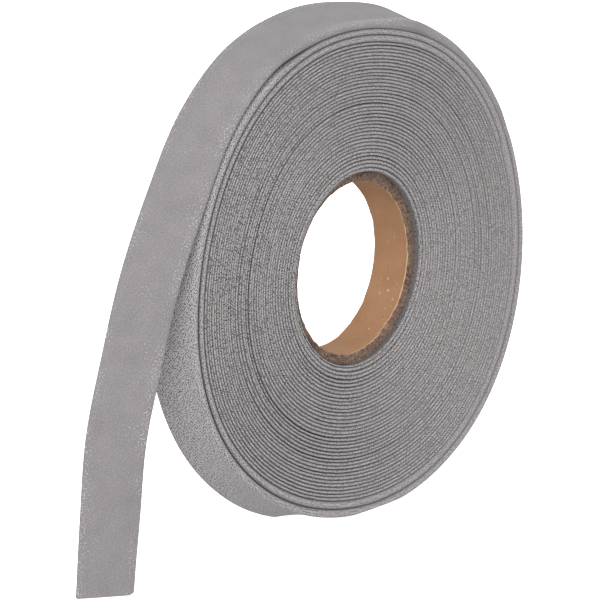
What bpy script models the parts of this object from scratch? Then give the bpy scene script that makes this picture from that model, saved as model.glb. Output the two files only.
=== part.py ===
"""A roll of folded bias tape on a cardboard core, standing on its rim, with its loose end hanging beside it.

The roll's axis runs along Y, its front face looks towards -Y, and it rests on the plane z = 0, with the
origin on the small flat spot under it, straight below its centre. Lengths are in metres. Angles round the
roll are measured from +X towards +Z, the way in which the tape is wound.
"""
import math

import bmesh
import bpy
from mathutils import Vector

# The tape
TAPE_WIDTH = 0.0127
TAPE_THICKNESS = 0.0010
TAPE_EDGE = 0.00030
GAP = 0.0003

# The cardboard core, which sits a little off the middle of the roll
CORE_INNER_RADIUS = 0.0186
CORE_WALL = 0.0020
CORE_OFF_X = 0.0004
CORE_OFF_Z = 0.0005
CORE_FRONT_RECESS = 0.0017
CORE_REAR_RECESS = 0.0016
CORE_CHAMFER = 0.0002

# The wound form: its mean outer radius, and the waves round its rim that keep it from being round
ROLL_RADIUS = 0.05477
RIM_WAVES = (
    # crests round the rim, height, angle of one crest in degrees
    (1, 0.00055, -41),
    (2, 0.00178, -24),
    (3, 0.00031, -31),
    (4, 0.00053, 35),
    (5, 0.00018, -27),
)
FLAT_SPOT_DEPTH = 0.0005
RIM_ROUNDING = 0.0005
SEGMENTS = 120

# How far the turns stand out of the roll's faces, from the core outwards
FACE_BANDS = (
    # share of the way out, front face, rear face
    (0.00, -0.00030, -0.00020),
    (0.06, 0.00005, -0.00005),
    (0.22, -0.00010, 0.00010),
    (0.38, 0.00015, -0.00015),
    (0.55, 0.00005, 0.00005),
    (0.58, -0.00020, 0.00010),
    (0.72, 0.00015, -0.00010),
    (0.92, 0.00000, 0.00005),
)

# The loose end: where it starts on the roll, where it lifts off, and its way down to the table
LEDGE_ANGLE = math.radians(20)
LIFT_ANGLE = math.radians(42)
LYING_SECTIONS = 8
LOOSE_END_STATIONS = (
    # x, y and z of its outer face from the roll's centre, and how far its rear edge is turned out, in degrees
    (0.0279, -0.0002, 0.0474, 11),
    (0.0111, 0.0000, 0.0530, 12),
    (-0.0075, 0.0000, 0.0549, 13),
    (-0.0261, 0.0000, 0.0514, 14),
    (-0.0416, -0.0003, 0.0410, 19),
    (-0.0526, -0.0006, 0.0264, 27),
    (-0.0613, -0.0004, 0.0109, 34),
    (-0.0677, -0.0003, -0.0050, 38),
    (-0.0732, -0.0003, -0.0207, 41),
    (-0.0764, -0.0010, -0.0364, 46),
    (-0.0800, -0.0023, -0.0518, 52),
)
SECTIONS_PER_STATION = 6
END_SLANT = 0.0003

FULL_TURN = 2 * math.pi
CORE_OUTER_RADIUS = CORE_INNER_RADIUS + CORE_WALL
LEDGE_HEIGHT = TAPE_THICKNESS + GAP
LOOSE_END_START = LEDGE_ANGLE + 2 * GAP / ROLL_RADIUS


def rim_radius(angle, turned):
    """The wound form's outer radius, where turned runs from 0 to 1 along its last turn."""
    radius = ROLL_RADIUS - LEDGE_HEIGHT * (1 - turned)
    for crests, height, crest in RIM_WAVES:
        radius += height * math.cos(crests * (angle - math.radians(crest)))
    return radius


UNDERSIDE = math.radians(275)
UNDERSIDE_RADIUS = rim_radius(UNDERSIDE, (UNDERSIDE - LEDGE_ANGLE) / FULL_TURN)
CENTRE_HEIGHT = -UNDERSIDE_RADIUS * math.sin(UNDERSIDE) - FLAT_SPOT_DEPTH


def make_material(name, colour, roughness):
    """A material with one Principled shader."""
    material = bpy.data.materials.new(name)
    material.use_nodes = True
    shader = material.node_tree.nodes["Principled BSDF"]
    shader.inputs["Base Color"].default_value = (*colour, 1)
    shader.inputs["Roughness"].default_value = roughness
    shader.inputs["Metallic"].default_value = 0
    material.diffuse_color = (*colour, 1)
    return material


def add_object(name, bm, material, sharp_angle):
    """Turns a finished bmesh into a named object, shaded smooth but for its sharp edges."""
    bmesh.ops.recalc_face_normals(bm, faces=bm.faces)
    mesh = bpy.data.meshes.new(name)
    bm.to_mesh(mesh)
    bm.free()
    mesh.materials.append(material)
    mesh.shade_smooth()
    mesh.set_sharp_from_angle(angle=math.radians(sharp_angle))
    made = bpy.data.objects.new(name, mesh)
    made.location = (0, 0, CENTRE_HEIGHT)
    bpy.context.collection.objects.link(made)
    return made


def join_rings(bm, first, second):
    """Faces between two closed rings of vertices, which may share some of them."""
    count = len(first)
    for i in range(count):
        corners = []
        for vertex in (first[i], first[(i + 1) % count], second[(i + 1) % count], second[i]):
            if vertex not in corners:
                corners.append(vertex)
        if len(corners) > 2:
            bm.faces.new(corners)


def make_core(material):
    """The cardboard tube, a little shorter than the tape is wide."""
    front = -TAPE_WIDTH / 2 + CORE_FRONT_RECESS
    rear = TAPE_WIDTH / 2 - CORE_REAR_RECESS
    profile = (
        (CORE_INNER_RADIUS, front + CORE_CHAMFER),
        (CORE_INNER_RADIUS + CORE_CHAMFER, front),
        (CORE_OUTER_RADIUS - CORE_CHAMFER, front),
        (CORE_OUTER_RADIUS, front + CORE_CHAMFER),
        (CORE_OUTER_RADIUS, rear - CORE_CHAMFER),
        (CORE_OUTER_RADIUS - CORE_CHAMFER, rear),
        (CORE_INNER_RADIUS + CORE_CHAMFER, rear),
        (CORE_INNER_RADIUS, rear - CORE_CHAMFER),
    )
    bm = bmesh.new()
    rings = []
    for step in range(SEGMENTS):
        angle = FULL_TURN * step / SEGMENTS
        rings.append([
            bm.verts.new((CORE_OFF_X + radius * math.cos(angle), y, CORE_OFF_Z + radius * math.sin(angle)))
            for radius, y in profile
        ])
    for step in range(SEGMENTS):
        join_rings(bm, rings[step], rings[(step + 1) % SEGMENTS])
    return add_object("core", bm, material, 40)


def wound_point(angle, share, y):
    """A point on one of the roll's faces, a share of the way from the core to the last turns."""
    hole = CORE_OUTER_RADIUS + GAP
    reach = rim_radius(angle, 0) - RIM_ROUNDING
    start = Vector((CORE_OFF_X + hole * math.cos(angle), 0, CORE_OFF_Z + hole * math.sin(angle)))
    end = Vector((reach * math.cos(angle), 0, reach * math.sin(angle)))
    return start.lerp(end, share) + Vector((0, y, 0))


def wound_section(angle, turned):
    """One section through the wound form: the front face outwards, the rim, then the rear face inwards."""
    face = TAPE_WIDTH / 2
    front = [wound_point(angle, share, -face - raised) for share, raised, _ in FACE_BANDS]
    rear = [wound_point(angle, share, face + raised) for share, _, raised in reversed(FACE_BANDS)]
    radius = rim_radius(angle, turned)
    rim = []
    for inwards, y in (
        (RIM_ROUNDING, -face),
        (RIM_ROUNDING * 0.3, -face + RIM_ROUNDING * 0.3),
        (0, -face + RIM_ROUNDING),
        (0, face - RIM_ROUNDING),
        (RIM_ROUNDING * 0.3, face - RIM_ROUNDING * 0.3),
        (RIM_ROUNDING, face),
    ):
        reach = radius - inwards
        rim.append(Vector((reach * math.cos(angle), y, max(reach * math.sin(angle), -CENTRE_HEIGHT))))
    return front + rim + rear


def make_wound_tape(material):
    """All the turns as one ring, its rim a spiral with a ledge where the loose end starts."""
    bm = bmesh.new()
    rings = []
    for step in range(SEGMENTS + 1):
        turned = step / SEGMENTS
        angle = LEDGE_ANGLE + FULL_TURN * turned
        rings.append([bm.verts.new(point) for point in wound_section(angle, turned)])
    for before, after in zip(rings, rings[1:]):
        join_rings(bm, before, after)
    # Only the rim's points differ between the spiral's two ends, so the rest close the ring
    shared = {}
    for low, high in zip(rings[0], rings[-1]):
        if (low.co - high.co).length < GAP / 2:
            shared[high] = low
    bmesh.ops.weld_verts(bm, targetmap=shared)
    join_rings(bm, [shared.get(vertex, vertex) for vertex in rings[-1]], rings[0])
    return add_object("wound_tape", bm, material, 50)


def through(before, start, end, after, share):
    """A smooth curve's point between start and end, given the points on both sides of them."""
    slope_in = (end - before) / 2
    slope_out = (after - start) / 2
    s2, s3 = share ** 2, share ** 3
    return (
        start * (2 * s3 - 3 * s2 + 1) + slope_in * (s3 - 2 * s2 + share)
        + end * (3 * s2 - 2 * s3) + slope_out * (s3 - s2)
    )


def lying_point(angle):
    """Where the loose end's outer face lies while it still rests on the roll."""
    radius = rim_radius(angle, (angle - LEDGE_ANGLE) / FULL_TURN) + LEDGE_HEIGHT
    return Vector((radius * math.cos(angle), 0, radius * math.sin(angle), 0))


def loose_end_path():
    """Points along the outer face of the loose end, each with the turn of its rear edge, in radians."""
    lying = LIFT_ANGLE - LOOSE_END_START
    path = [lying_point(LOOSE_END_START + lying * step / LYING_SECTIONS) for step in range(LYING_SECTIONS)]
    stations = [lying_point(LOOSE_END_START), lying_point(LIFT_ANGLE)]
    for x, y, z, turned_out in LOOSE_END_STATIONS:
        stations.append(Vector((x, y, z, math.radians(turned_out))))
    stations.append(stations[-1] * 2 - stations[-2])
    for i in range(1, len(stations) - 2):
        for step in range(SECTIONS_PER_STATION):
            path.append(through(*stations[i - 1:i + 3], step / SECTIONS_PER_STATION))
    path.append(stations[-2])
    return path


def make_loose_end(material):
    """The end of the tape: it lies on the roll, lifts off and hangs down beside it, turning as it goes."""
    path = loose_end_path()
    half = TAPE_WIDTH / 2
    profile = (
        (-half, -TAPE_THICKNESS / 2),
        (-half + TAPE_EDGE, 0),
        (0, 0),
        (half - TAPE_EDGE, 0),
        (half, -TAPE_THICKNESS / 2),
        (half - TAPE_EDGE, -TAPE_THICKNESS),
        (0, -TAPE_THICKNESS),
        (-half + TAPE_EDGE, -TAPE_THICKNESS),
    )
    bm = bmesh.new()
    rings = []
    for i, station in enumerate(path):
        before, after = path[max(i - 1, 0)], path[min(i + 1, len(path) - 1)]
        along = (after - before).xyz.normalized()
        level = Vector((0, 1, 0))
        level = (level - along * level.dot(along)).normalized()
        outwards = level.cross(along)
        turned_out = station.w
        across = level * math.cos(turned_out) + outwards * math.sin(turned_out)
        face = across.cross(along)
        slant = END_SLANT if i == len(path) - 1 else 0
        rings.append([
            bm.verts.new(station.xyz + across * a + face * b + along * slant * a / half)
            for a, b in profile
        ])
    for before, after in zip(rings, rings[1:]):
        join_rings(bm, before, after)
    bm.faces.new(rings[0])
    bm.faces.new(reversed(rings[-1]))
    return add_object("loose_end", bm, material, 50)


def main():
    """Builds the roll in an empty scene."""
    for old in list(bpy.data.objects):
        bpy.data.objects.remove(old, do_unlink=True)
    cotton = make_material("tape", (0.33, 0.31, 0.32), 0.85)
    card = make_material("core", (0.40, 0.21, 0.11), 0.8)
    make_core(card)
    make_wound_tape(cotton)
    make_loose_end(cotton)


main()
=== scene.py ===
# %% [markdown]
# # A roll of bias tape
# Bias tape is a strip of woven cotton that is cut across the weave, folded along both edges and once
# more down its middle, and wound on a cardboard tube. This notebook dresses the plain solids of such a
# roll: every turn of the winding becomes a real fold of cloth, the loose end becomes four layers that
# can be seen at its cut, and the tube becomes cardboard.
#
# The plain solids are loaded first, as a fixed frame. Whatever is made here has to lie where they lie.

# %% Load the frame
import math

import bpy
import numpy as np
from mathutils import Matrix, Vector


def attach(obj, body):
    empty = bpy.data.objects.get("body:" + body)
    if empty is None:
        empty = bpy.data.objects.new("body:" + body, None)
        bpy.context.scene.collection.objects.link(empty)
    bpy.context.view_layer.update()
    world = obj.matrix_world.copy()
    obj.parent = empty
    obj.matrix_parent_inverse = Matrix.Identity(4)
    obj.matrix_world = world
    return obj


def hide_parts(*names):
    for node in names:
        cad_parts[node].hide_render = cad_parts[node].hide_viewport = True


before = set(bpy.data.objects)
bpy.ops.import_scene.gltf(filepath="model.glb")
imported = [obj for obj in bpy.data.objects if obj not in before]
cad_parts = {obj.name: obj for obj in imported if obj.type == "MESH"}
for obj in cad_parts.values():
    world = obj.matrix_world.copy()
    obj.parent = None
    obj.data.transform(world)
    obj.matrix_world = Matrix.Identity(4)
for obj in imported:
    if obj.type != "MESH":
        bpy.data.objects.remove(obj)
bpy.ops.object.select_all(action="DESELECT")
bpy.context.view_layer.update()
print("nodes:", ", ".join(sorted(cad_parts)))

# %% [markdown]
# ## Sizes
# Everything is in metres. The roll's axis runs along Y, its front looks towards -Y, and angles round it
# are measured from +X towards +Z, which is also the way in which the tape is wound. The roll isn't quite
# round: a few waves round the rim make it oval and lumpy, and it rests on a small flat spot. These are
# the sizes of the solids, so they are repeated here and not chosen again.

# %% Sizes of the roll, its core and its loose end
FULL_TURN = 2 * math.pi
TAPE_WIDTH = 0.0127
TAPE_THICKNESS = 0.0010
GAP = 0.0003
CORE_INNER_RADIUS = 0.0186
CORE_WALL = 0.0020
CORE_OFF_X = 0.0004
CORE_OFF_Z = 0.0005
CORE_FRONT_RECESS = 0.0017
CORE_REAR_RECESS = 0.0016
ROLL_RADIUS = 0.05477
RIM_WAVES = (
    # crests round the rim, height, angle of one crest in degrees
    (1, 0.00055, -41),
    (2, 0.00178, -24),
    (3, 0.00031, -31),
    (4, 0.00053, 35),
    (5, 0.00018, -27),
)
FLAT_SPOT_DEPTH = 0.0005
LEDGE_ANGLE = math.radians(20)
LIFT_ANGLE = math.radians(42)
LEDGE_HEIGHT = TAPE_THICKNESS + GAP
CORE_OUTER_RADIUS = CORE_INNER_RADIUS + CORE_WALL
HALF_WIDTH = TAPE_WIDTH / 2


def rim_radius(angle, turned):
    """The outer radius, where turned runs from 0 to 1 along the last turn."""
    radius = ROLL_RADIUS - LEDGE_HEIGHT * (1 - turned)
    for crests, height, crest in RIM_WAVES:
        radius = radius + height * np.cos(crests * (angle - math.radians(crest)))
    return radius


UNDERSIDE = math.radians(275)
UNDERSIDE_RADIUS = float(rim_radius(UNDERSIDE, (UNDERSIDE - LEDGE_ANGLE) / FULL_TURN))
CENTRE_HEIGHT = -UNDERSIDE_RADIUS * math.sin(UNDERSIDE) - FLAT_SPOT_DEPTH
CENTRE = Vector((0, 0, CENTRE_HEIGHT))
print(f"the roll's centre is {CENTRE_HEIGHT * 1000:.2f} mm above the floor")

# %% [markdown]
# ## The camera
# The picture was taken with a long lens from the front and the left, a little above the roll. A real
# camera would be placed by eye. Here its direction, roll, distance and aim are known from lining up the
# roll's edges with the picture, so the camera's own axes are worked out from the angles and handed over
# as a matrix.

# %% Camera
CAMERA_AZIMUTH = math.radians(-50.72)
CAMERA_ELEVATION = math.radians(15.60)
CAMERA_ROLL = math.radians(-1.21)
CAMERA_DISTANCE = 3.2296
CAMERA_AIM_RIGHT = -0.007377
CAMERA_AIM_UP = -0.006909
CAMERA_LENS = 923.8

camera_back = Vector((
    math.sin(CAMERA_AZIMUTH) * math.cos(CAMERA_ELEVATION),
    -math.cos(CAMERA_AZIMUTH) * math.cos(CAMERA_ELEVATION),
    math.sin(CAMERA_ELEVATION),
))
level_right = Vector((math.cos(CAMERA_AZIMUTH), math.sin(CAMERA_AZIMUTH), 0))
level_up = camera_back.cross(level_right)
camera_right = level_right * math.cos(CAMERA_ROLL) + level_up * math.sin(CAMERA_ROLL)
camera_up = level_up * math.cos(CAMERA_ROLL) - level_right * math.sin(CAMERA_ROLL)
camera_aim = CENTRE + camera_right * CAMERA_AIM_RIGHT + camera_up * CAMERA_AIM_UP
camera_place = camera_aim + camera_back * CAMERA_DISTANCE

camera_data = bpy.data.cameras.new("camera")
camera_data.lens = CAMERA_LENS
camera = bpy.data.objects.new("camera", camera_data)
camera.matrix_world = Matrix.Translation(camera_place) @ Matrix(
    (camera_right, camera_up, camera_back)
).transposed().to_4x4()
bpy.context.collection.objects.link(camera)
bpy.context.scene.camera = camera
print("camera at", [round(value, 3) for value in camera_place])

# %% [markdown]
# ## Shader maths
# A woven finish is mostly arithmetic: which thread is on top here, how high is it, how dark is the gap
# beside it. Wired by hand, each plus or minus is one Math node. The small class below wraps a socket, so
# that such arithmetic can be written as ordinary Python and the nodes add themselves. Every other node,
# such as a noise or a colour mix, comes from its method called node, and the most common have one of
# their own.

# %% A socket that can be added and multiplied
class Wire:
    """An output socket of a material's nodes, on which Python's operators add Math nodes."""

    def __init__(self, socket):
        self.socket = socket

    def node(self, kind, settings=None, inputs=None, output=0):
        """Adds a node of any kind: its settings are set first, then its sockets get values or links."""
        tree = self.socket.id_data
        made = tree.nodes.new(kind)
        for name, value in (settings or {}).items():
            setattr(made, name, value)
        for name, value in (inputs or {}).items():
            if isinstance(value, Wire):
                tree.links.new(value.socket, made.inputs[name])
            else:
                made.inputs[name].default_value = value
        return Wire(made.outputs[output])

    def math(self, operation, *values):
        """A Math node on this value and any others."""
        sockets = {place: value for place, value in enumerate((self, *values))}
        return self.node("ShaderNodeMath", {"operation": operation}, sockets)

    def __add__(self, other):
        return self.math("ADD", other)

    def __sub__(self, other):
        return self.math("SUBTRACT", other)

    def __rsub__(self, other):
        return (self * -1) + other

    def __mul__(self, other):
        return self.math("MULTIPLY", other)

    def __abs__(self):
        return self.math("ABSOLUTE")

    def between(self, low, high):
        """0 below low, 1 above high and a smooth rise between them."""
        return self.node(
            "ShaderNodeMapRange", {"interpolation_type": "SMOOTHSTEP"}, {"Value": self, 1: low, 2: high}
        )

    def blend(self, first, second):
        """A mix of two colours, with this value as its factor."""
        return self.node(
            "ShaderNodeMix", {"data_type": "RGBA", "clamp_factor": True}, {0: self, 6: first, 7: second}, 2
        )

    def axis(self, index):
        """One of the three numbers of a vector."""
        return self.node("ShaderNodeSeparateXYZ", {}, {0: self}, index)

    def beside(self, other):
        """A vector with this value as its X and another as its Y."""
        return self.node("ShaderNodeCombineXYZ", {}, {0: self, 1: other})

    def noise(self, scale, detail):
        """Smooth random values, read at this vector."""
        return self.node("ShaderNodeTexNoise", {}, {"Vector": self, "Scale": scale, "Detail": detail})

    def attribute(self, name):
        """A value that is painted on the object that wears the material."""
        return self.node("ShaderNodeAttribute", {"attribute_name": name}, {}, 2)

    def bump(self, strength, distance):
        """The shading direction of a relief whose height this value is."""
        return self.node("ShaderNodeBump", {}, {"Strength": strength, "Distance": distance, "Height": self})


def new_material(name, coordinates, roughness, specular, sheen=0.0, sheen_roughness=0.5):
    """A material with one Principled shader, and the wire of its coordinates."""
    material = bpy.data.materials.new(name)
    material.use_nodes = True
    nodes = material.node_tree.nodes
    shader = nodes["Principled BSDF"]
    shader.inputs["Roughness"].default_value = roughness
    shader.inputs["Specular IOR Level"].default_value = specular
    shader.inputs["Sheen Weight"].default_value = sheen
    shader.inputs["Sheen Roughness"].default_value = sheen_roughness
    if coordinates == "Object":
        source = nodes.new("ShaderNodeTexCoord")
        place = Wire(source.outputs["Object"])
    else:
        source = nodes.new("ShaderNodeUVMap")
        source.uv_map = coordinates
        place = Wire(source.outputs["UV"])
    return material, shader, place


def plug(shader, name, wire):
    """Links a wire to one of the shader's sockets."""
    shader.id_data.links.new(wire.socket, shader.inputs[name])


print("shader helpers are ready")

# %% [markdown]
# ## The cloth's finish
# Bias tape is plain-woven cotton or a cotton blend: one thread over, one under, about two threads to the
# millimetre. It is cut at 45 degrees, so on the tape both sets of threads run slantwise. A picture of
# cloth would need an image; here the weave is a formula on a UV map that is measured in metres along and
# across the tape, so it keeps its true size on every fold. The sine products below say which thread is on
# top, and the higher of the two gives both the bump and painted shade in the gaps between threads. Slow
# noises make threads thicker and thinner, patches paler and darker, and a few specks of lint. On the roll
# the folds are packed tightly and the threads stand up, so they show strongly there. The loose end was
# ironed flat and hangs free, so it gets the same weave more faintly, with painted light on its front fold
# where it lies over the top right of the roll, and pale specks along its edges. Both get painted shade
# where little light comes: down in the grooves between two turns and where one layer covers another.
# Weave and grooves are crisp on the roll's left side and fade towards its right, by the place on the
# object, and there the cloth is also painted a little lighter on the left and darker on the right.

# %% Woven cotton
THREAD_PITCH = 0.00046
SLUB_LONG, SLUB_WIDE = 0.12, 0.9
COTTON_PALE = (0.460, 0.435, 0.440, 1)
COTTON_DARK = (0.082, 0.076, 0.077, 1)
# Painted shade for the grooves between turns and for sides under another layer
GROOVE_SHADE = (0.040, 0.036, 0.036, 1)
LINT = (0.55, 0.53, 0.53, 1)
WEAVE_DEPTH = 0.00012
CRISP_LEFT, CRISP_RIGHT = (-0.035, 1.45), (0.045, 0.5)
FRONT_FOLD_AT = -0.0014
OUTER_LAYER_AT = -0.0078


def cotton_material(name, weave, middle, groove_shade_share, bumpy, flat_more, side_shade, fold_light, edge_specks):
    """Plain-woven grey cotton, its threads at 45 degrees to the tape.

    weave is how strongly the threads show, middle how pale the cloth is, groove_shade_share how much shade is
    painted in the grooves, bumpy how deep the weave looks and flat_more how much fainter it is on the front
    fold. side_shade is painted light and shade, added where the cloth is less crisp; fold_light is painted
    light on the front fold, and edge_specks is for pale specks along the edges.
    """
    material, shader, place = new_material(name, "Tape", 0.92, 0.2, 0.12, 0.6)
    along, across = place.axis(0), place.axis(1)
    groove = place.attribute("groove")
    sideways = place.node("ShaderNodeTexCoord", {}, {}, 3).axis(0)
    (left, crispest), (right, faintest) = CRISP_LEFT, CRISP_RIGHT
    from_to = {0: sideways, 1: left, 2: right, 3: crispest, 4: faintest}
    crisp = sideways.node("ShaderNodeMapRange", {}, from_to)
    flat = across.between(0.0006, 0.0014)
    crisp = crisp * (flat * flat_more + 1 - flat_more)
    to_threads = math.sqrt(0.5) / THREAD_PITCH
    warp = (along + across) * to_threads
    weft = (along - across) * to_threads

    # How high each thread stands: its round section, times whether it is the one on top
    warp_wave = (warp * math.pi).math("SINE")
    weft_wave = (weft * math.pi).math("SINE")
    on_top = warp_wave * weft_wave
    warp_height = abs(warp_wave).math("POWER", 0.6) * (on_top * 0.5 + 0.5)
    weft_height = abs(weft_wave).math("POWER", 0.6) * (0.5 - on_top * 0.5)
    height = warp_height.math("MAXIMUM", weft_height)

    # Threads that are thicker here and thinner there: noises drawn out along each set of threads
    warp_slub = (warp * SLUB_WIDE).beside(weft * SLUB_LONG).noise(1.0, 1.0)
    weft_slub = (warp * SLUB_LONG).beside(weft * SLUB_WIDE).noise(1.0, 1.0)
    slub = warp_slub + weft_slub - 1.0

    # Single threads that catch the light or sink in, soft patches a few millimetres wide, and lint
    flecks = place.noise(3000.0, 0.0)
    patches = place.noise(190.0, 3.0)
    lint_fields = place.noise(120.0, 1.0)
    lint = flecks.between(0.72, 0.80) * lint_fields.between(0.55, 0.70)

    # Painted shade of the weave: thread tops paler, the gaps between them darker
    shade = (height - 0.39) * (weave * 0.65) + slub * (weave * 0.25) + (flecks - 0.5) * (weave * 2.0)
    # Painted light and shade by the place on the object: a little lighter on the roll's left, darker on its
    # right
    shade = shade * crisp + (patches - 0.5) * 0.20 + (1 - crisp) * side_shade + middle
    # Painted light on the front fold, where the loose end lies over the top right of the roll
    near_fold = 1 - abs(across - FRONT_FOLD_AT).between(0.0010, 0.0022)
    shade = shade + near_fold * sideways.between(-0.02, 0.01) * fold_light
    cloth = shade.blend(COTTON_DARK, COTTON_PALE)
    near_edges = abs(across - OUTER_LAYER_AT).between(0.0040, 0.0056)
    pale_specks = flecks.between(0.60, 0.70) * near_edges * lint_fields.between(0.38, 0.58) * edge_specks
    cloth = (lint * 0.7).math("MAXIMUM", pale_specks).blend(cloth, LINT)
    # Painted shade: darker down in the grooves and on sides under another layer, as the groove attribute says
    plug(shader, "Base Color", (groove * crisp * groove_shade_share).blend(cloth, GROOVE_SHADE))
    relief = height + slub * 0.3 + lint * 0.5
    plug(shader, "Normal", relief.bump(bumpy, WEAVE_DEPTH))
    return material


cotton = cotton_material(
    "woven_cotton", weave=1.8, middle=0.56, groove_shade_share=0.80, bumpy=0.8,
    flat_more=0.20, side_shade=-0.05, fold_light=0.0, edge_specks=0.0,
)
smooth_cotton = cotton_material(
    "woven_cotton_smoothed", weave=0.10, middle=0.345, groove_shade_share=0.72, bumpy=0.3,
    flat_more=0.0, side_shade=-0.08, fold_light=0.13, edge_specks=0.5,
)
print("cloth:", len(cotton.node_tree.nodes), "nodes")

# %% [markdown]
# ## Cardboard
# The core is a tube of brown paper, wound in a slant and glued ply on ply. Its inside is smooth kraft
# paper with fine fibres and paler specks. The cut ends are rougher and greyer, because the saw leaves
# torn fibres and dust there. Both are one material on the core's own UV map, which is measured in metres
# round and along the tube. Two attributes that are painted when the core is made tell where the tube was
# cut and where its front inner edge is torn, which shows pale fibres.

# %% Cardboard
KRAFT_PALE = (0.385, 0.215, 0.112, 1)
KRAFT_DARK = (0.275, 0.142, 0.070, 1)
CUT_PALE = (0.285, 0.190, 0.142, 1)
CUT_DARK = (0.060, 0.038, 0.030, 1)
FIBRE_PALE = (0.58, 0.41, 0.26, 1)
PAPER_SLANT = 0.55
PAPER_DEPTH = 0.00014


def card_material(name):
    """Brown kraft card, greyer and rougher where the tube was cut."""
    material, shader, place = new_material(name, "Card", 0.8, 0.3)
    around, along = place.axis(0), place.axis(1)
    cut, torn = place.attribute("cut"), place.attribute("torn")

    # Fibres lie along the paper, which is wound on a slant
    along_fibre = (around + along * PAPER_SLANT) * 900.0
    across_fibre = (along - around * PAPER_SLANT) * 3200.0
    fibres = along_fibre.beside(across_fibre).noise(1.0, 4.0)
    clouds = place.noise(150.0, 3.0)
    grain = place.noise(1500.0, 2.0)
    specks = place.noise(1100.0, 0.0)
    speck_fields = place.noise(90.0, 0.0)

    tone = fibres * 0.7 + clouds * 1.1 + grain * 0.4 - 0.6
    wall = tone.blend(KRAFT_DARK, KRAFT_PALE)
    pale = specks.between(0.72, 0.80) * speck_fields.between(0.50, 0.70) * 0.7
    pale = pale.math("MAXIMUM", (torn * 1.4 + grain - 0.85).between(0.15, 0.6) * 0.9)
    wall = pale.blend(wall, FIBRE_PALE)
    end = (grain * 2.2 + clouds * 0.9 - 1.05).blend(CUT_DARK, CUT_PALE)
    end = (torn * 0.8 + grain - 0.85).between(0.1, 0.5).blend(end, KRAFT_DARK)
    plug(shader, "Base Color", cut.blend(wall, end))
    plug(shader, "Roughness", cut * 0.15 + 0.72)
    relief = fibres * 0.5 + grain * (cut * 1.4 + 0.5) + pale * 0.3
    plug(shader, "Normal", relief.bump(0.6, PAPER_DEPTH))
    return material


card = card_material("kraft_card")
print("card:", len(card.node_tree.nodes), "nodes")

# %% [markdown]
# ## A strip of cloth from a grid
# Both the wound turns and the loose end are one long strip whose section is a closed outline. By hand one
# would sweep the section along a curve, but a curve can't change its section on the way, and here every
# millimetre of tape is folded a little differently. So the strip starts as a flat grid primitive, one row
# for each step along the tape and one column for each point of its section, and the grid's points are
# carried to where the winding takes them. The first and last columns then meet and are merged, the two
# open ends are filled, and the strip is closed. The UV map called Tape keeps, for each corner, how far
# along and how far across the flat cloth it was cut from, and an attribute says how deep it lies in the
# groove between two turns or under another layer, which sets how much shade is painted on it.

# %% Strips
def strip_from_grid(name, places, tape_uv, grooves, bake_uv, material, smooth_angle):
    """A closed strip: places[i, j] is point j of section i, whose last point repeats the first."""
    steps, points = places.shape[0] - 1, places.shape[1] - 1
    bpy.ops.mesh.primitive_grid_add(x_subdivisions=steps, y_subdivisions=points, size=2, location=(0, 0, 0))
    strip = bpy.context.active_object
    strip.name = name
    mesh = strip.data
    mesh.name = name
    flat = np.empty(len(mesh.vertices) * 3)
    mesh.vertices.foreach_get("co", flat)
    flat = flat.reshape(-1, 3)
    row = np.rint((flat[:, 0] + 1) / 2 * steps).astype(int)
    column = np.rint((flat[:, 1] + 1) / 2 * points).astype(int)
    mesh.vertices.foreach_set("co", places[row, column].ravel())

    corner = np.empty(len(mesh.loops), dtype=np.int32)
    mesh.loops.foreach_get("vertex_index", corner)
    mesh.uv_layers[0].name = "Tape"
    mesh.uv_layers["Tape"].data.foreach_set("uv", tape_uv[row[corner], column[corner]].ravel())
    # How much shade is painted on each corner, down in the grooves and under other layers
    groove = mesh.attributes.new("groove", "FLOAT", "CORNER")
    groove.data.foreach_set("value", grooves[row[corner], column[corner]])
    baked = mesh.uv_layers.new(name="OFBake")
    face_rows = row[corner].reshape(-1, 4).min(axis=1)
    face_columns = column[corner].reshape(-1, 4).min(axis=1)
    local_row = row[corner].reshape(-1, 4) - face_rows[:, None]
    local_column = column[corner].reshape(-1, 4) - face_columns[:, None]
    baked.data.foreach_set("uv", bake_uv(face_rows, face_columns, local_row, local_column).ravel())

    mesh.materials.append(material)
    bpy.ops.object.mode_set(mode="EDIT")
    bpy.ops.mesh.select_all(action="SELECT")
    bpy.ops.mesh.remove_doubles(threshold=1e-7)
    bpy.ops.mesh.select_all(action="SELECT")
    bpy.ops.mesh.fill_holes(sides=0)
    bpy.ops.mesh.select_all(action="SELECT")
    bpy.ops.mesh.normals_make_consistent(inside=False)
    bpy.ops.mesh.select_all(action="DESELECT")
    bpy.ops.object.mode_set(mode="OBJECT")
    bpy.ops.object.shade_smooth_by_angle(angle=math.radians(smooth_angle))
    strip.select_set(False)
    return strip


def wander(length, wavelength, seed):
    """Smooth random values from -1 to 1 along a length."""
    place = (length - length.min()) / wavelength
    knots = np.random.default_rng(seed).uniform(-1, 1, int(place.max()) + 2)
    before = place.astype(int)
    share = place - before
    share = share * share * (3 - 2 * share)
    return knots[before] * (1 - share) + knots[before + 1] * share


def wanders(length, *rows):
    """Such curves added up: each row gives a height, a wavelength and a seed."""
    return sum(height * wander(length, wavelength, seed) for height, wavelength, seed in rows)


def smooth_step(value, low, high):
    """0 below low, 1 above high and a smooth rise between them."""
    share = np.clip((value - low) / (high - low), 0, 1)
    return share * share * (3 - 2 * share)


def hump(value, rises, fades):
    """1 between two pairs of values, over which it rises from 0 and fades to 0 again."""
    return smooth_step(value, *rises) * (1 - smooth_step(value, *fades))


print("strip helpers are ready")

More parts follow.
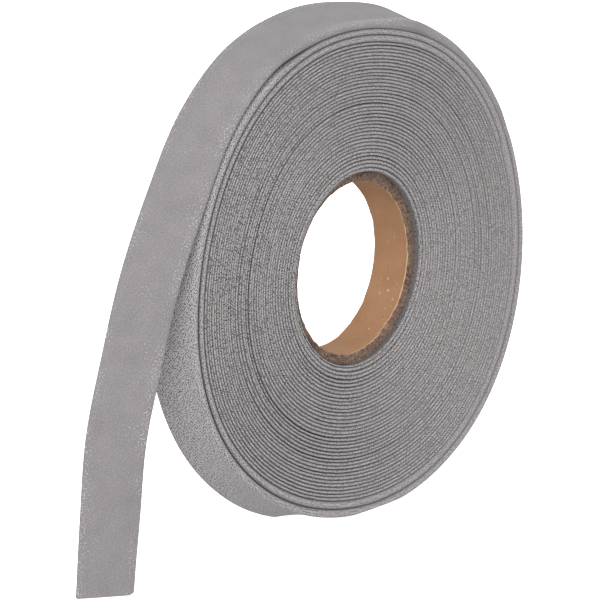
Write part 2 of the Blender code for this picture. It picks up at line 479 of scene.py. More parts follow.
# %% [markdown]
# ## How the tape is wound
# One number says where a piece of tape is: how many turns have been wound before it. From that number
# come its angle and how far out it lies. The tape's beginning is tucked in flat against the core, so the
# winding grows as an even spiral from there, a little thicker near the core, where the turns are looser.
# Nothing presses on the last turn, so its folds have sprung open: it is thicker than the others, except
# where the loose end lies on it. The inner side of each turn is the outer side of the one before, so no
# two turns can ever cut through each other.

# %% The winding
START_ANGLE = math.radians(85)
WOUND_TURNS = 40 + (LEDGE_ANGLE - START_ANGLE) / FULL_TURN
TUCKED_IN = 0.12
LAST_TURN_THICKNESS = 0.00168
LAST_TURN_GAP = 0.00010
PRESSED_BY = 0.00050
PRESSED_ANGLE = 75
PRESSED_SPAN = 31
HANDOVER_FROM = 0.86
LOOSER_AT_CORE = 0.16
LOOSER_TURNS = 6
TABLE_STEPS = 90


def winding_height(turn):
    """How many thicknesses of tape lie between the core and the tape's outer side."""
    return np.where(turn < 0, 0, turn + TUCKED_IN)


def last_turn_at(angle):
    """How thick the last turn is, which is less where the loose end lies on it."""
    degrees = np.degrees(angle) % 360
    pressed = np.exp(-((degrees - PRESSED_ANGLE) / PRESSED_SPAN) ** 4)
    return LAST_TURN_THICKNESS + LAST_TURN_GAP - PRESSED_BY * pressed


height_knots = np.arange(0, WOUND_TURNS + 1, 0.5)
turn_weights = 1 + LOOSER_AT_CORE * np.exp(-height_knots / LOOSER_TURNS)
turn_weights += 0.05 * wander(height_knots, 0.9, 11)
height_table = np.concatenate([[0], np.cumsum((turn_weights[1:] + turn_weights[:-1]) / 2)])


def outer_side(turn, wobble=0.0):
    """The outer side of the tape, as x and z from the roll's centre, any number of turns from its start."""
    turn = np.asarray(turn, dtype=float)
    angle = START_ANGLE + FULL_TURN * turn
    outwards = np.stack([np.cos(angle), np.sin(angle)], axis=-1)
    core = np.array([CORE_OFF_X, CORE_OFF_Z]) + CORE_OUTER_RADIUS * outwards
    rim = rim_radius(angle, 1)

    left = WOUND_TURNS - turn
    last_thickness = last_turn_at(angle)
    handover = smooth_step(2 - left, HANDOVER_FROM, 1)
    last_thickness = last_thickness + (LEDGE_HEIGHT - last_thickness) * handover
    under_last = (rim - LEDGE_HEIGHT * (left - 1) - last_thickness)[..., None] * outwards
    on_rim = (rim - LEDGE_HEIGHT * left)[..., None] * outwards

    full = np.interp(winding_height(WOUND_TURNS - 1), height_knots, height_table)
    share = np.interp(winding_height(turn), height_knots, height_table) / full
    deepest = (rim - LEDGE_HEIGHT - last_turn_at(angle))[..., None] * outwards
    packed = core + (deepest - core) * share[..., None]
    side = np.where((left > 2)[..., None], packed, np.where((left > 1)[..., None], under_last, on_rim))
    return side + wobble * outwards if np.ndim(wobble) == 0 else side + wobble[..., None] * outwards


table_turns = np.arange(0, WOUND_TURNS + 1 / TABLE_STEPS, 1 / TABLE_STEPS).clip(max=WOUND_TURNS)
table_sides = outer_side(table_turns)
table_lengths = np.concatenate([[0], np.cumsum(np.linalg.norm(np.diff(table_sides, axis=0), axis=1))])
WOUND_LENGTH = float(table_lengths[-1])
print(f"{WOUND_TURNS:.2f} turns take {WOUND_LENGTH:.2f} m of tape")

# %% [markdown]
# ## The wound turns
# The section of the tape is a rounded fold at the front, where the cloth is folded once over all its
# layers, and two smaller folds at the back, where it opens. The turns don't lie flush: one stands out a
# few hundredths of a millimetre more than the next, some are pinched and some gape, and the whole face
# is a little dished and ridged. All this is read from slow random curves along the tape, so it flows
# along each turn and never repeats from one turn to the next. One groove halfway out is wider. Each turn's
# inner face is pressed a little into the turn below, so that no light comes through between them. The last
# turn sinks in along its middle, and at the lower left its rear lip flares out over the floor.

# %% Wound turns
SECTION_STEP = 0.0021
FRONT_ANGLES = np.radians([180, 155, 125, 90, 55, 25, 0])
REAR_ANGLES = np.radians([0, 50, 100, 145])
RIM_SHARES = (0.10, 0.28, 0.50, 0.72, 0.90)
FOLD_DEPTH = 0.00052
LAST_FOLD_DEPTH = 0.00046
TROUGH = 0.00030
PRESSED_DOWN = 0.00004
FLARE = 0.0020
FLARE_RISES, FLARE_FADES = (200, 262), (270, 292)
COVERED_AT, COVERED_TO = 66, (40, 56)
OPENING_LEAST, OPENING_MORE = 0.000040, 0.000070
GAPING = 0.00016
LIP_GAP = 0.00016
REAR_FOLD_SHARE = 0.30
WIDE_GROOVE_TURN = 20
WIDE_GROOVE = 0.00022
WIDE_GROOVE_RISES, WIDE_GROOVE_FADES = (-0.10, 0.05), (0.35, 0.60)
WOBBLES = ((0.000035, 0.021, 21), (0.000020, 0.0063, 22))
FRONT_WAVES = ((0.00007, 0.150, 41), (0.00005, 0.034, 42), (0.00002, 0.008, 43))
REAR_WAVES = ((0.00008, 0.140, 44), (0.00005, 0.030, 45))
FACE_BANDS = (
    # share of the way out, front face, rear face
    (0.00, -0.00030, -0.00020),
    (0.06, 0.00005, -0.00005),
    (0.22, -0.00010, 0.00010),
    (0.38, 0.00015, -0.00015),
    (0.55, 0.00005, 0.00005),
    (0.58, -0.00020, 0.00010),
    (0.72, 0.00015, -0.00010),
    (0.92, 0.00000, 0.00005),
)

lengths = np.linspace(0, WOUND_LENGTH, int(WOUND_LENGTH / SECTION_STEP))
turns = np.interp(lengths, table_lengths, table_turns)
below_lengths = np.interp(np.clip(turns - 1, 0, None), table_turns, table_lengths)


def wobble_at(length):
    """How far a turn's outer side strays outwards, which the next turn follows."""
    return wanders(length, *WOBBLES)


packed_hard = 1 - smooth_step(turns, WOUND_TURNS - 1.3, WOUND_TURNS - 1)
wobble = np.interp(lengths, table_lengths, wobble_at(table_lengths))
below_wobble = np.interp(below_lengths, table_lengths, wobble_at(table_lengths)) * (turns > 1)
outer = outer_side(turns, wobble * packed_hard)
inner = outer_side(turns - 1, below_wobble)
opening = OPENING_LEAST + OPENING_MORE * np.clip(wander(lengths, 0.032, 31), 0, 1) ** 2
opening += GAPING * np.clip(wander(lengths, 0.120, 32) - 0.40, 0, 1) * packed_hard
opening += WIDE_GROOVE * hump(turns - WIDE_GROOVE_TURN, WIDE_GROOVE_RISES, WIDE_GROOVE_FADES)
lain_on = inner
through_tape = outer - inner
thickness = np.linalg.norm(through_tape, axis=1)
inner = inner + through_tape * (opening / thickness)[:, None]
middle = (outer + inner) / 2
half = (outer - inner) / 2
thickness = np.linalg.norm(outer - inner, axis=1)

share_out = (np.linalg.norm(middle, axis=1) - CORE_OUTER_RADIUS) / (ROLL_RADIUS - CORE_OUTER_RADIUS)
shares, front_raised, rear_raised = np.array(FACE_BANDS).T
front_edge = -HALF_WIDTH - np.interp(share_out, shares, front_raised)
front_edge += wanders(lengths, *FRONT_WAVES)
rear_edge = HALF_WIDTH + np.interp(share_out, shares, rear_raised)
rear_edge += wanders(lengths, *REAR_WAVES)
front_bulge = FOLD_DEPTH + (LAST_FOLD_DEPTH - FOLD_DEPTH) * (1 - packed_hard)
rear_bulge = REAR_FOLD_SHARE * np.minimum(thickness, 2 * TAPE_THICKNESS)
degrees = np.degrees(START_ANGLE + FULL_TURN * turns) % 360
covered = 1 - smooth_step(np.abs(degrees - COVERED_AT), *COVERED_TO)
under_more = np.maximum(packed_hard, covered)
outwards = outer / np.linalg.norm(outer, axis=1)[:, None]
flare = FLARE * hump(degrees, FLARE_RISES, FLARE_FADES) * (1 - packed_hard)
above_floor = outer[:, 1] + CENTRE_HEIGHT
flare = np.minimum(flare, 0.9 * np.clip(above_floor, 0, None) / np.maximum(-outwards[:, 1], 0.05))
trough = TROUGH * (1 - packed_hard) * (1 - covered)

# Each point also gets how much shade is painted on it: most down in the grooves and on sides that the next
# turn or the loose end covers, none on the fold crests
section = []
across = []
grooves = []
for angle in FRONT_ANGLES:
    place = middle + half * math.cos(angle)
    depth = front_edge + front_bulge * (1 - math.sin(angle) ** 0.9)
    section.append(np.column_stack([place[:, 0], depth, place[:, 1]]))
    across.append(thickness / 2 * (math.pi / 2 - angle))
    groove = abs(math.cos(angle)) ** 2.4
    grooves.append(groove * (under_more if angle < math.pi / 2 else np.ones_like(turns)))
rim_start, rim_end = front_edge + front_bulge, rear_edge - rear_bulge
for share in RIM_SHARES:
    lift = flare * share ** 1.5 - trough * math.sin(math.pi * share)
    place = outer + outwards * lift[:, None]
    section.append(np.column_stack([place[:, 0], rim_start + (rim_end - rim_start) * share, place[:, 1]]))
    corner_across = thickness * math.pi / 4
    across.append(corner_across + (TAPE_WIDTH - corner_across) * share)
    grooves.append(under_more)
lip_gap = LIP_GAP * np.clip(wander(lengths, 0.06, 46) + 0.4, 0, 1)
for side in (1, -1):
    fold_angles = REAR_ANGLES if side > 0 else np.pi - REAR_ANGLES[::-1]
    lip_edge = rear_edge - (lip_gap if side > 0 else 0)
    for angle in fold_angles:
        place = middle + half * (side * 0.5 + math.cos(angle) * 0.5)
        if side > 0:
            place = place + outwards * flare[:, None]
        depth = lip_edge - rear_bulge * (1 - math.sin(angle))
        section.append(np.column_stack([place[:, 0], depth, place[:, 1]]))
        across.append(TAPE_WIDTH + thickness / 2 * (angle + (0 if side > 0 else math.pi)))
        towards_next = (1 - math.sin(angle)) ** 1.6
        outermost = side > 0 and angle < math.pi / 2
        grooves.append(towards_next * (packed_hard if outermost else np.ones_like(turns)))
    if side > 0:
        notch = middle + outwards * (flare * 0.4)[:, None]
        depth = rear_edge - 2.2 * rear_bulge - 1.5 * flare
        section.append(np.column_stack([notch[:, 0], depth, notch[:, 1]]))
        across.append(TAPE_WIDTH + thickness / 2 * math.pi)
        grooves.append(np.ones_like(turns))
pressed_down = lain_on - outwards * PRESSED_DOWN
section.append(np.column_stack([pressed_down[:, 0], np.zeros(len(turns)), pressed_down[:, 1]]))
across.append(1.5 * TAPE_WIDTH + thickness * 2.5)
grooves.append(np.ones_like(turns))
section.append(section[0])
across.append(2 * TAPE_WIDTH + thickness * 2)
grooves.append(grooves[0])
turn_places = np.stack(section, axis=1)
turn_places[..., 2] = np.maximum(turn_places[..., 2], -CENTRE_HEIGHT) + CENTRE_HEIGHT
turn_uv = np.stack([np.repeat(lengths[:, None], len(across), axis=1), np.stack(across, axis=1)], axis=-1)
turn_groove_shades = np.stack(grooves, axis=1)

OUTER_FIRST = len(FRONT_ANGLES) - 1
OUTER_LAST = OUTER_FIRST + len(RIM_SHARES)
OUTER_COUNT = OUTER_LAST - OUTER_FIRST + 1
INNER_FIRST = len(across) - 3
BAKE_ROWS = 3
ROW_PITCH, ROW_HEIGHT = 0.13, 0.12
DISC_HALF = 0.24
DISC_REACH = ROLL_RADIUS * 1.06
RIM_FROM = WOUND_LENGTH - FULL_TURN * ROLL_RADIUS * 1.02


def bake_turns(rows, columns, local_rows, local_columns):
    """Where each face of the wound turns lies on its baked picture: two discs, and strips for the rim."""
    corner_rows = rows[:, None] + local_rows
    corner_columns = columns[:, None] + local_columns
    spot = turn_places[corner_rows, corner_columns]
    disc = np.stack([spot[..., 0], spot[..., 2] - CENTRE_HEIGHT], axis=-1) / DISC_REACH * DISC_HALF
    uv = disc + np.array([0.25, 0.25])
    rear = columns > OUTER_LAST
    uv[rear] += np.array([0.5, 0])
    outer_side_face = (columns >= OUTER_FIRST) & (columns <= OUTER_LAST)
    rim_share = np.clip((corner_columns - OUTER_FIRST) / OUTER_COUNT, 0, 1)
    tucked = np.stack([lengths[corner_rows] / WOUND_LENGTH * 0.98 + 0.01, 0.99 + 0.004 * rim_share], axis=-1)
    hidden = outer_side_face | (columns >= INNER_FIRST)
    uv[hidden] = tucked[hidden]
    on_rim = outer_side_face & (lengths[rows] > RIM_FROM)
    along = (lengths[corner_rows] - RIM_FROM) / (WOUND_LENGTH - RIM_FROM) * BAKE_ROWS
    strip_row = np.clip(np.floor(along.min(axis=1)), 0, BAKE_ROWS - 1)[:, None]
    strip_height = 0.52 + strip_row * ROW_PITCH + rim_share * ROW_HEIGHT
    strip = np.stack([(along - strip_row) * 0.92 + 0.02, strip_height], axis=-1)
    uv[on_rim] = strip[on_rim]
    return uv


wound_turns = strip_from_grid("wound_turns", turn_places, turn_uv, turn_groove_shades, bake_turns, cotton, 55)
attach(wound_turns, "root")
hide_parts("wound_tape")
print(f"wound turns: {len(lengths)} sections, {len(wound_turns.data.polygons)} faces")

# %% [markdown]
# ## The loose end
# The end of the tape goes on from the last turn, lifts off over the top and hangs down in front of the
# roll's left side, turning its back edge outwards as it falls. It is a strip of cloth 50.8 mm wide that
# is folded to 12.7 mm: its raw edges are turned in to the middle and the whole is folded in half. Here
# one continuous line goes through all four layers, from raw edge to raw edge, and gets the thickness of
# the cloth on both sides. Its way through the air is a smooth curve through a few places that were read
# off the picture.

# %% Way of the loose end
STATIONS = (
    # x, y and z of its outer face from the roll's centre, and how far its rear edge is turned out, in degrees
    (0.0279, -0.0002, 0.0474, 11),
    (0.0111, 0.0000, 0.0530, 12),
    (-0.0075, 0.0000, 0.0549, 13),
    (-0.0261, 0.0000, 0.0514, 14),
    (-0.0416, -0.0003, 0.0410, 19),
    (-0.0526, -0.0006, 0.0264, 27),
    (-0.0613, -0.0004, 0.0109, 34),
    (-0.0677, -0.0003, -0.0050, 38),
    (-0.0732, -0.0003, -0.0207, 41),
    (-0.0764, -0.0010, -0.0364, 46),
    (-0.0800, -0.0023, -0.0518, 52),
)
CURVE_STEPS = 40
LYING_STEPS = 60


def lying_point(angle):
    """Where the loose end's outer face lies while it still rests on the roll."""
    radius = float(rim_radius(angle, (angle - LEDGE_ANGLE) / FULL_TURN)) + LEDGE_HEIGHT
    return np.array([radius * math.cos(angle), 0, radius * math.sin(angle), 0])


def through(before, start, end, after, share):
    """A smooth curve's point between start and end, given the points on both sides of them."""
    slope_in, slope_out = (end - before) / 2, (after - start) / 2
    s2, s3 = share ** 2, share ** 3
    return (
        start * (2 * s3 - 3 * s2 + 1) + slope_in * (s3 - 2 * s2 + share)
        + end * (3 * s2 - 2 * s3) + slope_out * (s3 - s2)
    )


way = [lying_point(LEDGE_ANGLE + (LIFT_ANGLE - LEDGE_ANGLE) * i / LYING_STEPS) for i in range(LYING_STEPS)]
marks = [lying_point(LEDGE_ANGLE), lying_point(LIFT_ANGLE)]
marks += [np.array([x, y, z, math.radians(turned)]) for x, y, z, turned in STATIONS]
marks.append(marks[-1] * 2 - marks[-2])
for i in range(1, len(marks) - 2):
    way += [through(*marks[i - 1:i + 3], step / CURVE_STEPS) for step in range(CURVE_STEPS)]
way = np.array(way + [marks[-2]])
way_lengths = np.concatenate([[0], np.cumsum(np.linalg.norm(np.diff(way[:, :3], axis=0), axis=1))])
LOOSE_LENGTH = float(way_lengths[-1])
print(f"the loose end is {LOOSE_LENGTH * 1000:.0f} mm long")

# %% [markdown]
# The four layers are drawn as one line in the tape's own section, and then moved out to both sides by
# half the cloth's thickness. While the tape lies on the roll its front fold is sprung open, most of all
# just before the tape lifts off, and its underside droops there until it touches the roll. Towards the
# cut the strip turns out a little more and its layers gape. It is cut level with the floor, on which it
# stands, and one corner of the cut has softened.

# %% Loose end
LAYER = 0.00020
FOLDED_IN = 0.0008
CLOTH_WIDTH = 4 * TAPE_WIDTH
STEP_ALONG = 0.0012
END_STEPS = 10
END_ZONE = 0.004
CORNER_RADIUS = 0.0009
END_HEIGHT = 0.00006
CUT_RISE = 0.00080
END_TWIST = math.radians(9)
TWIST_LENGTH = 0.030
GAPE_LENGTH = 0.014
GAPE = 0.00015
CROWN = 0.00008
CLEARANCE = 0.00002
LIES_FOR = 0.080
LIFTS_OVER = 0.030
SPRUNG = 0.00075
SPRUNG_AT = 0.0465
SPRUNG_SPAN = 0.0065
SPRUNG_START = 0.00030
START_RISES, START_FADES = (0, 0.008), (0.018, 0.028)
SPRUNG_WIDTH = 0.0045
SAG_MOST = 0.0014
SAG_CLOSER = 0.00018
SAG_WIDTH = 0.0075
SAG_ENDS_OVER = 0.012
RIPPLES = ((0.00007, 0.017, 51), (0.00003, 0.006, 52))


def fold_points(centre_across, centre_depth, radius, first, last, count):
    """Points round a fold, leaving out its two ends."""
    angles = np.radians(np.linspace(first, last, count + 2)[1:-1])
    return [(centre_across + radius * math.cos(a), centre_depth + radius * math.sin(a)) for a in angles]


def layer_points(first, last, depth, count):
    """Points along one flat layer."""
    return [(value, depth) for value in np.linspace(first, last, count)]


def folded_line(thick):
    """The cloth's middle line through the folded tape, as distances across it and depths below its face."""
    top, bottom = -LAYER / 2, -thick + LAYER / 2
    turn_in = LAYER * 0.62
    top_inner, bottom_inner = top - 2 * turn_in, bottom + 2 * turn_in
    rear = HALF_WIDTH - LAYER / 2 - turn_in
    fold = (top - bottom) / 2
    front = -HALF_WIDTH + LAYER / 2 + fold
    raw = -HALF_WIDTH + FOLDED_IN + fold * 0.5
    line = layer_points(raw, rear, top_inner, 9)
    line += fold_points(rear, top - turn_in, turn_in, -90, 90, 5)
    line += layer_points(rear, front, top, 16)
    line += fold_points(front, (top + bottom) / 2, fold, 90, 270, 7)
    line += layer_points(front, rear, bottom, 12)
    line += fold_points(rear, bottom + turn_in, turn_in, -90, 90, 5)
    line += layer_points(rear, raw, bottom_inner, 9)
    return np.array(line)


def both_sides(line):
    """The closed outline of a cloth whose middle line is given."""
    ahead = np.gradient(line, axis=0)
    ahead /= np.linalg.norm(ahead, axis=1)[:, None]
    sideways = np.column_stack([-ahead[:, 1], ahead[:, 0]]) * LAYER / 2
    outline = np.concatenate([line + sideways, (line - sideways)[::-1]])
    return np.concatenate([outline, outline[:1]])


loose_lengths = np.concatenate([
    np.arange(0, LOOSE_LENGTH - END_ZONE, STEP_ALONG),
    np.linspace(LOOSE_LENGTH - END_ZONE, LOOSE_LENGTH, END_STEPS + 1),
])
centre_line = np.column_stack([np.interp(loose_lengths, way_lengths, way[:, k]) for k in range(4)])
ripple = wanders(loose_lengths, *RIPPLES) * smooth_step(loose_lengths, 0.05, 0.09)
edge_ripple = 0.00005 * wander(loose_lengths, 0.012, 53)
loose_places, loose_uv, loose_groove_shades = [], [], []
for i, (x, y, z, turned) in enumerate(centre_line):
    before, after = centre_line[max(i - 1, 0)], centre_line[min(i + 1, len(centre_line) - 1)]
    ahead = Vector(after[:3] - before[:3]).normalized()
    level = Vector((0, 1, 0))
    level = (level - ahead * level.dot(ahead)).normalized()
    outwards = level.cross(ahead)
    along = loose_lengths[i]
    to_end = LOOSE_LENGTH - along
    turned += END_TWIST * smooth_step(-to_end, -TWIST_LENGTH, 0)
    rearwards = level * math.cos(turned) + outwards * math.sin(turned)
    face = rearwards.cross(ahead)
    lies = 1 - smooth_step(along, LIES_FOR, LIES_FOR + LIFTS_OVER)
    thick = TAPE_THICKNESS + (LEDGE_HEIGHT - CLEARANCE - TAPE_THICKNESS) * lies

    # The folded section, its front fold sprung open and its underside sagging onto the roll
    outline = both_sides(folded_line(thick))
    side, depth = outline[:, 0], outline[:, 1]
    open_share = (side + HALF_WIDTH) / TAPE_WIDTH
    lower_half = smooth_step(-depth, thick * 0.35, thick * 0.65)
    towards_front = 1 - smooth_step(side, -HALF_WIDTH, -HALF_WIDTH + SPRUNG_WIDTH)
    sprung = SPRUNG * math.exp(-((along - SPRUNG_AT) / SPRUNG_SPAN) ** 2)
    sprung += SPRUNG_START * hump(along, START_RISES, START_FADES)
    front_low = np.array([x, y, z]) - HALF_WIDTH * np.array(rearwards) - thick * np.array(face)
    low_angle = math.atan2(front_low[2], front_low[0])
    rim_there = float(rim_radius(low_angle, (low_angle - LEDGE_ANGLE) / FULL_TURN))
    sag = min(max(math.hypot(front_low[0], front_low[2]) - rim_there + SAG_CLOSER, 0), SAG_MOST)
    sag *= 1 - smooth_step(along, LIES_FOR, LIES_FOR + SAG_ENDS_OVER)
    sagging = 1 - smooth_step(side, -HALF_WIDTH, -HALF_WIDTH + SAG_WIDTH)
    depth = depth + sprung * towards_front * (1 - lower_half) - sag * sagging * lower_half
    depth = depth - CROWN * (side / HALF_WIDTH) ** 2 * (1 - lies)

    # Near the cut the layers gape and one corner is rounded off
    gape = GAPE * smooth_step(-to_end, -GAPE_LENGTH, 0) * open_share ** 2
    depth = np.where(depth < -thick / 2, depth - gape, depth)
    corner = CORNER_RADIUS - math.sqrt(max(CORNER_RADIUS ** 2 - max(CORNER_RADIUS - to_end, 0) ** 2, 0))
    side = HALF_WIDTH - (HALF_WIDTH - side) * (1 - corner / TAPE_WIDTH) + edge_ripple[i] * (1 - open_share)
    spot = np.array([x, y, z + CENTRE_HEIGHT]) + np.outer(side, rearwards) + np.outer(depth + ripple[i], face)
    loose_places.append(spot)

    # How far each point lies across the flat cloth: the length of the middle line up to it
    layers = len(spot) // 2
    middles = (spot[:layers] + spot[layers:2 * layers][::-1]) / 2
    run = np.concatenate([[0], np.cumsum(np.linalg.norm(np.diff(middles, axis=0), axis=1))])
    run = np.concatenate([run, run[::-1], [0]])
    loose_uv.append(np.column_stack([np.full(len(run), WOUND_LENGTH + along), run - CLOTH_WIDTH / 2]))
    # Painted shade on the underside near the front fold, while the loose end lies on the roll
    lowest = thick + sag
    loose_groove_shades.append(smooth_step(-depth, lowest * 0.78, lowest) * towards_front * lies)
loose_places = np.array(loose_places)
downwards = np.array(ahead)
cut_height = END_HEIGHT + CUT_RISE * (side / TAPE_WIDTH + 0.5)
to_level = (cut_height - loose_places[-1, :, 2]) / downwards[2]
near_end = smooth_step(loose_lengths, LOOSE_LENGTH - END_ZONE, LOOSE_LENGTH)
loose_places += near_end[:, None, None] * (to_level[:, None] * downwards)[None]
loose_uv = np.array(loose_uv)
loose_groove_shades = np.array(loose_groove_shades)


def bake_loose(rows, columns, local_rows, local_columns):
    """Where each face of the loose end lies on its baked picture: rows of cloth, laid out flat."""
    corner_rows, corner_columns = rows[:, None] + local_rows, columns[:, None] + local_columns
    along = loose_lengths[corner_rows] / LOOSE_LENGTH * 2
    strip_row = np.clip(np.floor(along.min(axis=1)), 0, 1)[:, None]
    count = loose_places.shape[1] - 1
    strip_height = 0.02 + (strip_row + corner_columns / count * 0.96) * 0.48
    return np.stack([(along - strip_row) * 0.92 + 0.02, strip_height], axis=-1)


loose_cloth = strip_from_grid(
    "loose_end_cloth", loose_places, loose_uv, loose_groove_shades, bake_loose, smooth_cotton, 55
)
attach(loose_cloth, "root")
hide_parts("loose_end")
print(f"loose end: {len(loose_lengths)} sections, {len(loose_cloth.data.polygons)} faces")

# %% [markdown]
# ## The cardboard core
# The tube is modelled as by hand: a cylinder primitive, its two caps inset again and again so that the
# plies of the wall show as rings, and the innermost caps bridged into a hole. The saw leaves the plies
# uneven and tears the inner edge, so in the end the points near each cut are nudged by a random curve.

# %% Core
CORE_SEGMENTS = 300
PLIES = 5
CORE_CUTS = 12
core_length = TAPE_WIDTH - CORE_FRONT_RECESS - CORE_REAR_RECESS
core_middle = (CORE_FRONT_RECESS - CORE_REAR_RECESS) / 2
bpy.ops.mesh.primitive_cylinder_add(
    vertices=CORE_SEGMENTS, radius=CORE_OUTER_RADIUS, depth=core_length,
    location=(CORE_OFF_X, core_middle, CENTRE_HEIGHT + CORE_OFF_Z), rotation=(math.pi / 2, 0, 0),
)
core = bpy.context.active_object
core.name = "cardboard_core"
core.data.name = "cardboard_core"
bpy.ops.object.transform_apply(location=True, rotation=True, scale=True)


def select_caps():
    """Selects the two faces that still close the tube's ends."""
    for face in core.data.polygons:
        face.select = len(face.vertices) == CORE_SEGMENTS


bpy.ops.object.mode_set(mode="EDIT")
bpy.ops.mesh.select_mode(type="FACE")
bpy.ops.mesh.select_all(action="DESELECT")
bpy.ops.object.mode_set(mode="OBJECT")
for ply in range(PLIES * 2):
    select_caps()
    bpy.ops.object.mode_set(mode="EDIT")
    bpy.ops.mesh.inset(thickness=CORE_WALL / PLIES / 2, depth=0)
    bpy.ops.object.mode_set(mode="OBJECT")
select_caps()
bpy.ops.object.mode_set(mode="EDIT")
bpy.ops.mesh.bridge_edge_loops(number_cuts=CORE_CUTS)
bpy.ops.mesh.select_all(action="SELECT")
bpy.ops.mesh.normals_make_consistent(inside=False)
bpy.ops.mesh.select_all(action="DESELECT")
bpy.ops.object.mode_set(mode="OBJECT")
print(f"core: {len(core.data.polygons)} faces")

# %% [markdown]
# The nudges are small: hundredths of a millimetre on the plies, and up to about three tenths on the torn
# inner edge, which is most ragged at the upper right of the front. The same step writes the UV map in
# metres and the two attributes that tell the cut ends and the torn edge apart.

# %% Plies, torn edge, UV map and attributes
TEAR = 0.00022
RAGGED = 0.00026
MOST_RAGGED_AT = math.radians(50)
WALL_IN = 0.00012
SEAM_IN = 0.00007
EDGE_IN = 0.00010
NEAR_PLY = 0.2
points = np.empty(len(core.data.vertices) * 3)
core.data.vertices.foreach_get("co", points)
points = points.reshape(-1, 3)
from_axis = points[:, [0, 2]] - np.array([CORE_OFF_X, CENTRE_HEIGHT + CORE_OFF_Z])
radius = np.linalg.norm(from_axis, axis=1)
angle = np.arctan2(from_axis[:, 1], from_axis[:, 0])
outwards = from_axis / radius[:, None]
front = core_middle - core_length / 2
rear = core_middle + core_length / 2
to_cut = np.minimum(points[:, 1] - front, rear - points[:, 1])
at_end = to_cut < 1e-5
front_side = points[:, 1] < core_middle
ply = (radius - CORE_INNER_RADIUS) / CORE_WALL * PLIES


def round_wander(waves, seed, chosen=slice(None)):
    """Random values that join up round the core, at the chosen points."""
    share = (angle[chosen] % FULL_TURN) / FULL_TURN * waves
    knots = np.random.default_rng(seed).uniform(-1, 1, waves)
    before = share.astype(int) % waves
    part = share - np.floor(share)
    part = part * part * (3 - 2 * part)
    return knots[before] * (1 - part) + knots[(before + 1) % waves] * part


def tears(waves, seed, wider_waves, wider_seed):
    """How deep the saw has torn the edge: small tears, and wider ones that are half as deep."""
    small, wide = round_wander(waves, seed), round_wander(wider_waves, wider_seed)
    return TEAR * (np.clip(small, 0, 1) + 0.5 * np.clip(wide, 0, 1))


push = np.zeros(len(points))
for level in range(PLIES * 2 + 1):
    on_ring = at_end & (np.abs(ply - level / 2) < NEAR_PLY)
    for is_front, seed in ((True, 61), (False, 81)):
        chosen = on_ring & (front_side == is_front)
        fine = round_wander(70, seed + level, chosen)
        coarse = round_wander(21, seed + 30 + level, chosen)
        push[chosen] = fine * 0.00004 + coarse * 0.00006 + (SEAM_IN if level % 2 == 0 else 0)
inner_wall = ply < NEAR_PLY
edge = at_end & inner_wall
push[edge] += EDGE_IN + np.where(front_side, tears(90, 101, 37, 102), tears(80, 103, 31, 104))[edge]
points[:, 1] += np.where(front_side, push, -push)
ovalness = 0.00005 * round_wander(9, 105) + 0.00002 * round_wander(60, 106)
ragged = np.clip(0.4 + 0.6 * round_wander(131, 107) + 0.3 * round_wander(47, 108), 0, 1)
upper_right = 0.35 + 0.65 * np.clip(np.cos(angle - MOST_RAGGED_AT), 0, 1)
torn_in = np.where(edge & front_side, RAGGED * ragged * upper_right, 0)
shift = np.where(inner_wall, ovalness - WALL_IN - torn_in, 0)
points[:, [0, 2]] += outwards * shift[:, None]
core.data.vertices.foreach_set("co", points.ravel())

corner = np.empty(len(core.data.loops), dtype=np.int32)
core.data.loops.foreach_get("vertex_index", corner)
corner = corner.reshape(-1, 4)
corner_angle = angle[corner] % FULL_TURN
wrapped = (corner_angle.max(axis=1) - corner_angle.min(axis=1)) > math.pi
corner_angle = np.where(wrapped[:, None] & (corner_angle < math.pi), corner_angle + FULL_TURN, corner_angle)
card_uv = np.stack([corner_angle * CORE_OUTER_RADIUS, points[corner][..., 1] + radius[corner]], axis=-1)
core.data.uv_layers[0].name = "Card"
core.data.uv_layers["Card"].data.foreach_set("uv", card_uv.ravel())
face_cut = at_end[corner].all(axis=1)
cut = core.data.attributes.new("cut", "FLOAT", "CORNER")
cut.data.foreach_set("value", np.repeat(face_cut.astype(float), 4))
torn = core.data.attributes.new("torn", "FLOAT", "POINT")
torn.data.foreach_set("value", (edge & front_side).astype(float))
core.data.materials.append(card)
core.select_set(True)
bpy.ops.object.shade_smooth_by_angle(angle=math.radians(40))
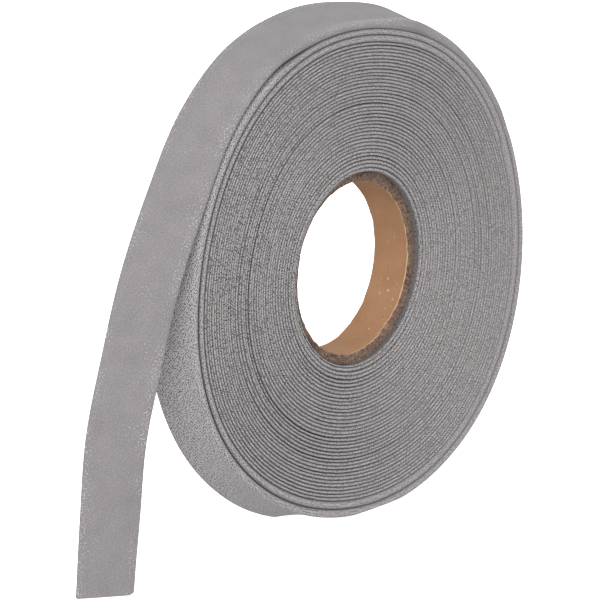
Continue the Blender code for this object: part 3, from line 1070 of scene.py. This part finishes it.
core.select_set(False)
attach(core, "root")
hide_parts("core")
print(f"core: {face_cut.sum()} faces on its cut ends")

# %% [markdown]
# ## Floor and light
# The picture is a product shot on white. A large floor lies under the roll and glows fully white, because
# the picture shows no shadow on it. So that this glow doesn't light the roll from below, the floor is seen
# by the camera alone, and the white room all round is brighter above than below instead. One large soft
# lamp stands at the front left, a little above the roll, and makes the outer cloth paler than the face.

# %% Floor
bpy.ops.mesh.primitive_plane_add(size=6, location=(0, 0, 0))
floor = bpy.context.active_object
floor.name = "studio_floor"
floor_material, floor_shader, _ = new_material("white_sweep", "Object", 0.9, 0.1)
FLOOR_WHITE = 0.9
FLOOR_GLOW = 1.0
floor_shader.inputs["Base Color"].default_value = (FLOOR_WHITE,) * 3 + (1,)
floor_shader.inputs["Emission Color"].default_value = (1, 1, 1, 1)
floor_shader.inputs["Emission Strength"].default_value = FLOOR_GLOW
floor.data.materials.append(floor_material)
floor.visible_diffuse = False
floor.visible_glossy = False
floor.select_set(False)

# %% Light
LIGHT_ABOVE = 1.12
LIGHT_BELOW = 0.66
KEY_PLACE = Vector((-0.95, -0.50, 0.40))
KEY_SIZE = 0.7
KEY_POWER = 6.0
world = bpy.data.worlds.new("white_room")
world.use_nodes = True
background = world.node_tree.nodes["Background"]
direction = Wire(world.node_tree.nodes.new("ShaderNodeTexCoord").outputs["Generated"])
glow = direction.axis(2).between(-0.5, 0.3).blend((LIGHT_BELOW,) * 3 + (1,), (LIGHT_ABOVE,) * 3 + (1,))
world.node_tree.links.new(glow.socket, background.inputs["Color"])
bpy.context.scene.world = world
bpy.context.scene.view_settings.view_transform = "Standard"

key_data = bpy.data.lights.new("soft_key", "AREA")
key_data.shape = "DISK"
key_data.size = KEY_SIZE
key_data.energy = KEY_POWER
key = bpy.data.objects.new("soft_key", key_data)
key.location = KEY_PLACE
key.rotation_euler = (KEY_PLACE - CENTRE).to_track_quat("Z", "Y").to_euler()
bpy.context.collection.objects.link(key)
print("one soft lamp and a white room")
